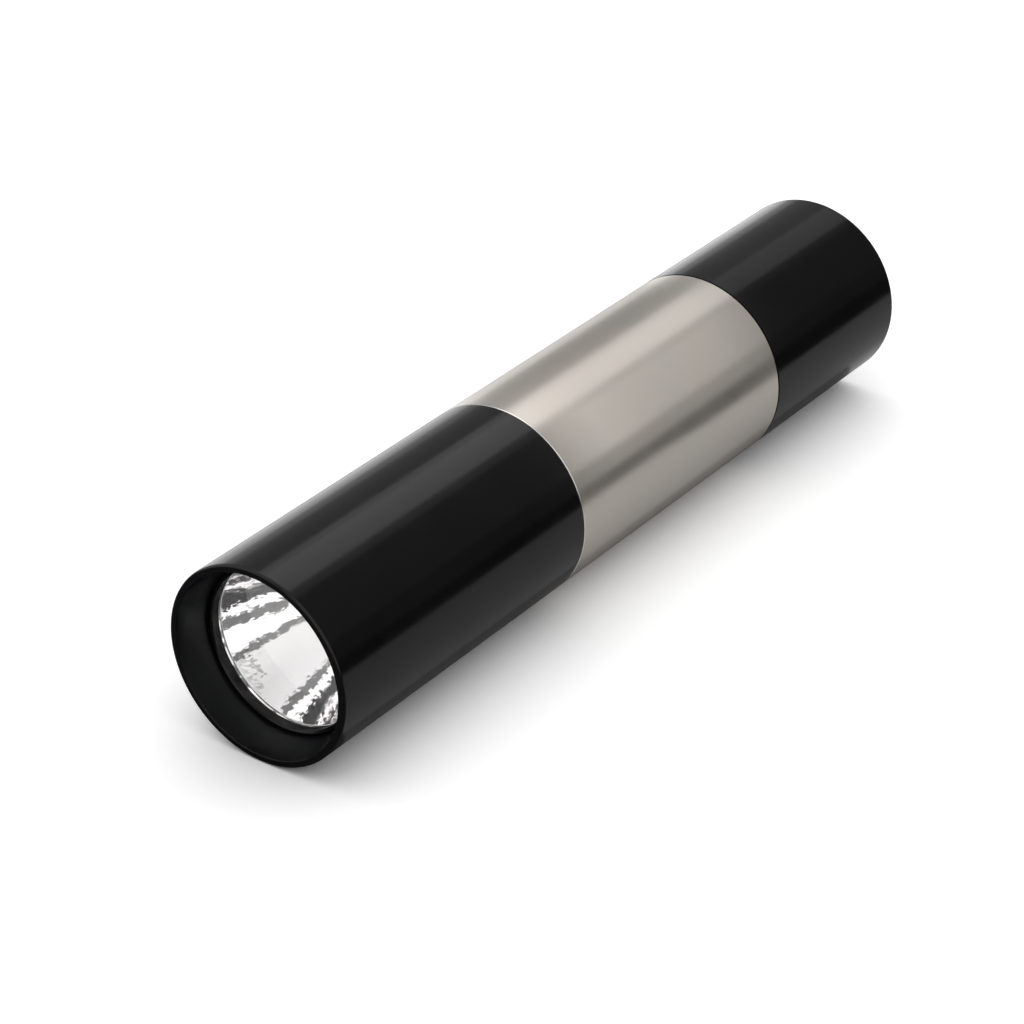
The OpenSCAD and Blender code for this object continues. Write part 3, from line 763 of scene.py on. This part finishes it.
def head_tube():
    """Front lip, funnel, optic bore, shelf, bay and the threaded spigot with its seal groove."""
    groove = HEAD_SEAL.middle.y
    shelf_r = LED_BOARD.radius + 0.8 * MM
    shelf_front = SINK.front - 2 * MM
    lip_r = TUBE_R - LIP_W
    lip_edge = 0.12 * MM
    start = groove + GROOVE_HALF + THREAD_TO_GROOVE
    stop = HEAD.back - THREAD_TO_END
    profile = rounded([
        (lip_r, HEAD.front, lip_edge),
        (TUBE_R, HEAD.front, RIM_ROUND),
        (TUBE_R, BARREL.front - SEAM_GAP, SEAM_ROUND),
        (SPIGOT_R, BARREL.front - SEAM_GAP),
        (SPIGOT_R, groove - GROOVE_HALF, GROOVE_EDGE),
        (GROOVE_R, groove - GROOVE_HALF, GROOVE_EDGE),
        (GROOVE_R, groove + GROOVE_HALF, GROOVE_EDGE),
        (SPIGOT_R, groove + GROOVE_HALF, GROOVE_EDGE),
        *close_points(SPIGOT_R, start, stop, THREAD_STEP),
        (SPIGOT_R, HEAD.back - SPIGOT_CHAMFER),
        (SPIGOT_R - SPIGOT_CHAMFER, HEAD.back),
        (BAY_R, HEAD.back),
        (BAY_R, SINK.front),
        (shelf_r, SINK.front),
        (shelf_r, shelf_front),
        (OPTIC_R, shelf_front),
        (OPTIC_R, RING.front),
    ])
    piece = turned("head_tube", profile, BLACK, thread(start, stop, THREAD_DEPTH))
    paint(piece, BLACK_INSIDE, lambda c: math.hypot(c.x, c.z - AXIS_Z) < lip_r and c.y < shelf_front)
    fitted(piece, "head", "head_shell")


def retaining_ring():
    """Screwed ring with chamfered edges that holds the lens."""
    chamfer = 0.2 * MM
    edge = 0.05 * MM
    profile = rounded([
        (RING_OPEN_R, RING.back),
        (RING_OPEN_R, RING.front + chamfer, edge),
        (RING_OPEN_R + chamfer, RING.front, edge),
        (RING.radius - chamfer, RING.front, edge),
        (RING.radius, RING.front + chamfer, edge),
        (RING.radius, RING.back),
    ])
    fitted(turned("retaining_ring", profile, BLACK), "head", "lens_retaining_ring")


def lens_and_gasket():
    """Flat lens with ground edges in its soft ring."""
    ground_edge = 0.15 * MM
    profile = rounded([
        (0, LENS.front),
        (LENS.radius, LENS.front, ground_edge),
        (LENS.radius, LENS.back, ground_edge),
        (0, LENS.back),
    ])
    fitted(turned("flat_lens", profile, GLASS), "head", "lens")
    inner = LENS.radius + PLAY
    soft_edge = 0.1 * MM
    profile = rounded([
        (inner, GASKET.front, soft_edge),
        (GASKET.radius, GASKET.front, soft_edge),
        (GASKET.radius, GASKET.back, soft_edge),
        (inner, GASKET.back, soft_edge),
    ])
    fitted(turned("lens_seal", profile, SOFT_SILICONE), "head", "lens_gasket")


def mirror_cup():
    """Parabolic mirror with its flange, thin wall and straight neck."""
    steps = 72
    hole_r = 3.2 * MM
    wall = 0.9 * MM
    flange_t = 1.6 * MM
    flange_back = REFLECTOR.front + flange_t
    slope = (MIRROR_OPEN_R**2 - hole_r**2) / REFLECTOR.length
    inner = []
    for i in range(steps + 1):
        r = hole_r + (MIRROR_OPEN_R - hole_r) * i / steps
        inner.append((r, REFLECTOR.back - (r * r - hole_r * hole_r) / slope))
    outer = [(r + wall, y) for r, y in reversed(inner) if y > flange_back]
    profile = inner + [
        (REFLECTOR.radius, REFLECTOR.front),
        (REFLECTOR.radius, flange_back),
        (outer[0][0], flange_back),
    ] + outer
    fitted(turned("mirror_cup", profile, MIRROR), "head", "reflector")


def light_emitter():
    """Ceramic base, phosphor square and clear dome in one piece."""
    dome_foot = EMITTER.back - 1.0 * MM
    phosphor_front = dome_foot + 0.02 * MM
    base_front = dome_foot + 0.1 * MM
    phosphor_half = 0.9 * MM
    dome_r = 1.45 * MM
    dome_height = dome_foot - EMITTER.front
    steps = 20
    curve = [
        (dome_r * math.sin(math.pi / 2 * i / steps),
         dome_foot - dome_height * math.cos(math.pi / 2 * i / steps))
        for i in range(steps + 1)
    ]
    form = bmesh.new()
    form.from_mesh(lathe("emitter_dome", curve + [(0, dome_foot)], segments=64))
    for half, front, back, edge in (
        (EMITTER.radius, base_front, EMITTER.back, 0.08 * MM),
        (phosphor_half, phosphor_front, base_front, 0.02 * MM),
    ):
        block = bmesh.ops.create_cube(form, size=1)["verts"]
        bmesh.ops.scale(form, vec=(2 * half, back - front, 2 * half), verts=block)
        bmesh.ops.translate(form, vec=(0, (front + back) / 2, AXIS_Z), verts=block)
        edges = list({e for v in block for e in v.link_edges})
        bmesh.ops.bevel(form, geom=edges, offset=edge, segments=2, affect="EDGES")
    mesh = bpy.data.meshes.new("emitter")
    form.to_mesh(mesh)
    form.free()
    piece = finished("emitter", mesh, CERAMIC)
    paint(piece, PHOSPHOR, lambda c: dome_foot < c.y < base_front - 0.002 * MM)
    paint(piece, SILICONE, lambda c: c.y <= dome_foot)
    fitted(piece, "head", "led_emitter")


head_tube()
retaining_ring()
lens_and_gasket()
mirror_cup()
light_emitter()


# Barrel

def barrel_tube():
    """Satin tube with a threaded socket at each end."""
    front_shoulder = HEAD.back + SHOULDER_GAP
    rear_shoulder = TAIL.front - SHOULDER_GAP
    # The socket is plain where the seal runs
    seal_run = 4.2 * MM
    lead_in = 0.25 * MM
    front_thread = (BARREL.front + seal_run, front_shoulder - THREAD_TO_END)
    rear_thread = (rear_shoulder + THREAD_TO_END, BARREL.back - seal_run)
    front_cut = thread(*front_thread, -THREAD_DEPTH)
    rear_cut = thread(*rear_thread, -THREAD_DEPTH)

    def relief(radius, y, angle):
        if radius > SOCKET_R + 0.1 * MM:
            return radius
        return front_cut(rear_cut(radius, y, angle), y, angle)

    profile = rounded([
        (SOCKET_R + lead_in, BARREL.front + SEAM_GAP),
        (TUBE_R - SEAM_CUT, BARREL.front + SEAM_GAP),
        (TUBE_R, BARREL.front + SEAM_GAP + SEAM_CUT),
        (TUBE_R, BARREL.back - SEAM_GAP - SEAM_CUT),
        (TUBE_R - SEAM_CUT, BARREL.back - SEAM_GAP),
        (SOCKET_R + lead_in, BARREL.back - SEAM_GAP),
        (SOCKET_R, BARREL.back - SEAM_GAP - lead_in),
        *close_points(SOCKET_R, rear_thread[1], rear_thread[0], THREAD_STEP),
        (SOCKET_R, rear_shoulder),
        (BAY_R, rear_shoulder),
        (BAY_R, front_shoulder),
        (SOCKET_R, front_shoulder),
        *close_points(SOCKET_R, front_thread[1], front_thread[0], THREAD_STEP),
        (SOCKET_R, BARREL.front + lead_in),
    ])
    piece = turned("barrel_tube", profile, GREY, relief)
    cut_end = SEAM_GAP + SEAM_CUT
    paint(piece, CUT_EDGE, lambda c: math.hypot(c.x, c.z - AXIS_Z) > TUBE_R - SEAM_CUT
          and not BARREL.front + cut_end < c.y < BARREL.back - cut_end)
    fitted(piece, "barrel", "barrel")


barrel_tube()


# Tail cap

def tail_tube():
    """Threaded spigot, chamber, end wall and the recess for the thumb."""
    groove = TAIL_SEAL.middle.y
    boot_hole_r = BOOT_R + 0.1 * MM
    start = TAIL.front + THREAD_TO_END
    stop = groove - GROOVE_HALF - THREAD_TO_GROOVE
    thumb_edge_round = 0.1 * MM
    profile = rounded([
        (BAY_R, TAIL.front),
        (SPIGOT_R - SPIGOT_CHAMFER, TAIL.front),
        (SPIGOT_R, TAIL.front + SPIGOT_CHAMFER),
        *close_points(SPIGOT_R, start, stop, THREAD_STEP),
        (SPIGOT_R, groove - GROOVE_HALF, GROOVE_EDGE),
        (GROOVE_R, groove - GROOVE_HALF, GROOVE_EDGE),
        (GROOVE_R, groove + GROOVE_HALF, GROOVE_EDGE),
        (SPIGOT_R, groove + GROOVE_HALF, GROOVE_EDGE),
        (SPIGOT_R, BARREL.back + SEAM_GAP),
        (TUBE_R, BARREL.back + SEAM_GAP, SEAM_ROUND),
        (TUBE_R, TAIL.back, RIM_ROUND),
        (THUMB_R + THUMB_EDGE, TAIL.back, thumb_edge_round),
        (THUMB_R, TAIL.back - THUMB_EDGE, thumb_edge_round),
        (THUMB_R, TAIL.back - THUMB_DEPTH, 0.3 * MM),
        (boot_hole_r, TAIL.back - THUMB_DEPTH, 0.15 * MM),
        (boot_hole_r, CHAMBER_BACK),
        (BAY_R, CHAMBER_BACK),
    ])
    piece = turned("tail_tube", profile, BLACK, thread(start, stop, THREAD_DEPTH))
    fitted(piece, "tail_cap", "tail_shell")


def rubber_boot():
    """Moulded boot: flange, tube, rounded crown and the pad that meets the plunger."""
    inner_r = BOOT_R - BOOT_WALL
    pad_r = PLUNGER.radius - 0.4 * MM
    crown_inside = BOOT.back - BOOT_WALL
    pad_face = PLUNGER.back + 0.05 * MM
    # Distance between the rings of points along the boot's wall
    bend = 0.3 * MM
    flange_edge = 0.2 * MM
    crown_round = 1.6 * MM
    profile = rounded([
        (inner_r, BOOT.front),
        (BOOT.radius, BOOT.front, flange_edge),
        (BOOT.radius, CHAMBER_BACK, flange_edge),
        *close_points(BOOT_R, CHAMBER_BACK, BOOT.back - crown_round - 0.1 * MM, bend),
        (BOOT_R, BOOT.back, crown_round),
        (0, BOOT.back),
        (0, pad_face),
        (pad_r, pad_face),
        (pad_r, crown_inside),
        (inner_r, crown_inside, crown_round / 2),
        *close_points(inner_r, crown_inside - crown_round / 2 - 0.1 * MM, BOOT.front + bend, bend),
    ], steps=10)
    piece = turned("rubber_boot", profile, BOOT_RUBBER, segments=128)
    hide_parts("switch_boot")
    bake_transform(piece)


tail_tube()
rubber_boot()


# Seals

def o_ring(name, node, body):
    """Round rubber ring in its groove."""
    seal = Span(node)
    steps = 20
    profile = []
    for i in range(steps):
        angle = 2 * math.pi * i / steps
        profile.append((seal.radius - SEAL_D / 2 * (1 - math.cos(angle)),
                        seal.middle.y + SEAL_D / 2 * math.sin(angle)))
    fitted(turned(name, profile, NITRILE), body, node)


o_ring("head_seal_ring", "head_o_ring", "head_seal")
o_ring("tail_seal_ring", "tail_o_ring", "tail_seal")


# Battery cassette

def battery_cell(node, reverse):
    """Steel can in a plain sleeve that is shrunk over its ends, with its raised button."""
    place = Span(node)
    length = place.length
    button_r = 1.9 * MM
    can_front = 1.0 * MM
    can_back = length - 0.12 * MM
    # The sleeve stands 0.1 mm over the can at both ends, round an opening that shows the steel
    sleeve_front = 0.9 * MM
    sleeve_back = length - 0.02 * MM
    front_opening_r = 3.4 * MM
    back_opening_r = CELL_R - 1.0 * MM
    sleeve_fall = 0.1 * MM
    sleeve_round = 0.5 * MM
    points = rounded([
        (0, 0),
        (button_r, 0, 0.25 * MM),
        (button_r, can_front),
        (front_opening_r, can_front),
        (front_opening_r + sleeve_fall, sleeve_front),
        (CELL_R, sleeve_front, sleeve_round),
        (CELL_R, sleeve_back, sleeve_round),
        (back_opening_r + sleeve_fall, sleeve_back),
        (back_opening_r, can_back),
        (0, can_back),
    ])
    profile = [(r, place.back - y if reverse else place.front + y) for r, y in points]
    mesh = lathe(node, profile, segments=96, centre=(place.middle.x, place.middle.z))
    piece = finished(node + "_can", mesh, SLEEVE)

    def from_button(c):
        return place.back - c.y if reverse else c.y - place.front

    def off_axis(c):
        return math.hypot(c.x - place.middle.x, c.z - place.middle.z)

    steel_r = front_opening_r + sleeve_fall / 2
    band = 9 * MM
    paint(piece, NICKEL, lambda c: off_axis(c) < steel_r or from_button(c) < sleeve_front - 0.05 * MM)
    paint(piece, SLEEVE_BAND, lambda c: off_axis(c) > steel_r + 0.15 * MM and from_button(c) < band)
    fitted(piece, "battery_cassette", node)


def cell_springs():
    """Cone springs between the end discs and the cells' flat ends."""
    low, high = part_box("cell_springs")
    wire = 0.5 * MM
    length = 1.7 * MM - wire
    base_r = 3.6 * MM
    tip_r = 1.6 * MM
    turns = 2
    coils = []
    for node in ("cell_1", "cell_2", "cell_3"):
        place = Span(node)
        base = low.y + wire / 2 if node == "cell_2" else high.y - wire / 2
        tip = base + length if node == "cell_2" else base - length
        coils.append((place.middle.x, place.middle.z, base, tip, base_r, tip_r, turns))
    piece = wire_coils("cell_cone_springs", coils, wire)
    fitted(piece, "battery_cassette", "cell_springs")


battery_cell("cell_1", False)
battery_cell("cell_2", True)
battery_cell("cell_3", False)
cell_springs()


# Contact springs and the switch

def contact_spring(name, node, body, base_r, tip_r, turns, base_at_front):
    """Cone-shaped contact spring that stands on its board."""
    place = Span(node)
    wire = 0.8 * MM
    base = place.front + wire / 2
    tip = place.back - wire / 2
    if not base_at_front:
        base, tip = tip, base
    piece = wire_coils(name, [(0, AXIS_Z, base, tip, base_r, tip_r, turns)], wire)
    fitted(piece, body, node)


def return_spring():
    """Spring under the plunger."""
    wire = 0.4 * MM
    r = SWITCH_SPRING.radius - wire / 2
    turns = 4.5
    coil = (0, AXIS_Z, SWITCH_SPRING.front + wire / 2, SWITCH_SPRING.back - wire / 2, r, r, turns)
    piece = wire_coils("return_spring", [coil], wire)
    fitted(piece, "tail_cap", "switch_spring")
    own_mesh(piece)


contact_spring("driver_contact_spring", "driver_spring", "head",
               base_r=4.6 * MM, tip_r=2.4 * MM, turns=3.5, base_at_front=True)
contact_spring("tail_contact_spring", "tail_spring", "tail_cap",
               base_r=7.6 * MM, tip_r=4.4 * MM, turns=5, base_at_front=False)
return_spring()

# Moulded and stamped pieces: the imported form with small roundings
for soft_name, soft_node, soft_finish, soft_edge, soft_body, soft_slot in (
    ("cassette_moulding", "cassette_frame", BLACK_ABS, 0.2 * MM, "battery_cassette", "black_plastic"),
    ("front_contact", "cassette_front_contact", GOLD_PLATE, 0.15 * MM, "battery_cassette", "contact_plate"),
    ("rear_contact", "cassette_rear_contact", NICKEL, 0.15 * MM, "battery_cassette", "contact_plate"),
    ("cell_plates", "cell_contacts", NICKEL, 0.08 * MM, "battery_cassette", "contact_plate"),
    ("switch_case", "switch_body", SWITCH_PBT, 0.15 * MM, "tail_cap", "black_plastic"),
    ("switch_insert", "switch_housing", BLACK_ABS, 0.2 * MM, "tail_cap", "black_plastic"),
    ("plunger", "switch_plunger", NYLON, 0.1 * MM, "tail_button", "white_plastic"),
):
    fitted(softened(soft_name, soft_node, soft_finish, soft_edge), soft_body, soft_node)

# Inner pieces whose packed form is right as it is, with their real finishes
for kept_node, kept_finish in (
    ("led_centring_ring", NYLON),
    ("led_board", WHITE_BOARD),
    ("led_wires", INSULATION),
    ("heat_sink", BRASS),
    ("driver_board", GREEN_BOARD),
    ("switch_board", GREEN_BOARD),
):
    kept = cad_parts[kept_node]
    for kept_slot in kept.material_slots:
        kept_slot.material = kept_finish
    shade(kept)

bpy.context.scene.view_settings.view_transform = "Standard"
